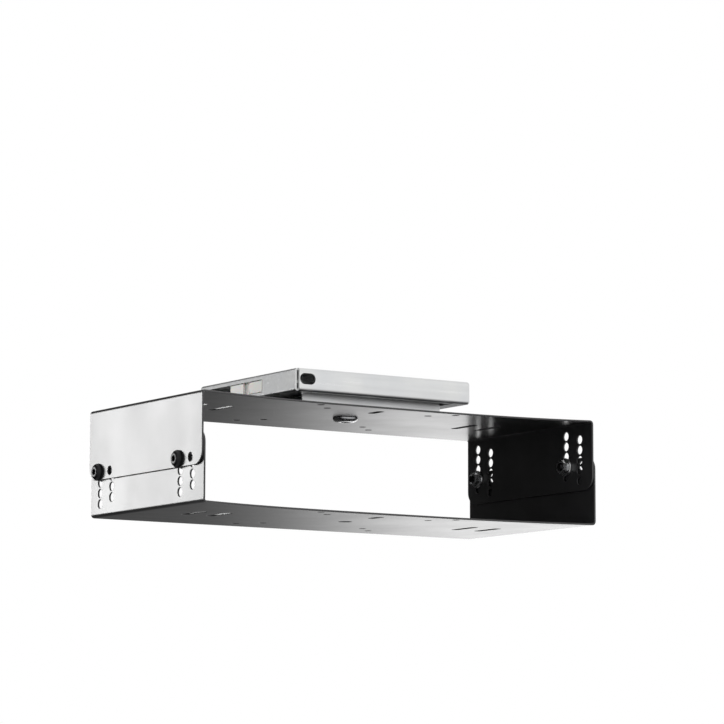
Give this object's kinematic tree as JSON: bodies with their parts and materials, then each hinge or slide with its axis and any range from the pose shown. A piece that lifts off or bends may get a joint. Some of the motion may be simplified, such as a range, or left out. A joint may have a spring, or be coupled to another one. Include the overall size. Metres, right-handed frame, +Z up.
{
  "type": "under-desk cpu holder",
  "caption": "Under-desk holder for a small computer: a black cradle of two bolted steel channels on a plated mount that slides and swivels.",
  "frame": {"origin": "centre of the mount housing's flat face on the desk's underside", "axes": "+Z up into the desk, +X to the right and +Y to the back, as the user sees the holder; the cradle's curved front edges are on its -Y side"},
  "size_m": [0.2964, 0.1402, 0.0882],
  "materials": {
    "black_coat": "black powder coat on folded sheet steel, semi-gloss with a fine orange peel",
    "zinc_plate": "bright zinc plating on folded sheet steel, faintly brushed",
    "zinc_screw": "zinc-plated steel fastener",
    "black_screw": "black oxide steel, slightly shiny",
    "white_nylon": "moulded white nylon"
  },
  "bodies": {
    "mount": {"mount_housing": "zinc_plate"},
    "carriage": {"slide_plate": "zinc_plate", "glide_left": "white_nylon", "glide_right": "white_nylon", "hanger_channel": "zinc_plate", "hanger_rivet_left_front": "zinc_screw", "hanger_rivet_left_rear": "zinc_screw", "hanger_rivet_right_front": "zinc_screw", "hanger_rivet_right_rear": "zinc_screw", "pivot_bolt": "zinc_screw", "pivot_lock_nut": "zinc_screw", "pivot_washer": "zinc_screw", "thrust_washer": "white_nylon"},
    "cradle": {"upper_channel": "black_coat", "lower_channel": "black_coat", "clamp_screw_left_front": "black_screw", "clamp_screw_left_rear": "black_screw", "clamp_screw_right_front": "black_screw", "clamp_screw_right_rear": "black_screw", "clamp_nut_left_front": "zinc_screw", "clamp_nut_left_rear": "zinc_screw", "clamp_nut_right_front": "zinc_screw", "clamp_nut_right_rear": "zinc_screw"}
  },
  "joints": [
    {"name": "carriage_slide", "type": "slide", "parent": "mount", "child": "carriage", "axis": [0, 1, 0], "range_m": [0, 0.032]},
    {"name": "cradle_swivel", "type": "hinge", "parent": "carriage", "child": "cradle", "pos_m": [0, -0.0127, -0.0213], "axis": [0, 0, 1], "continuous": true}
  ]
}
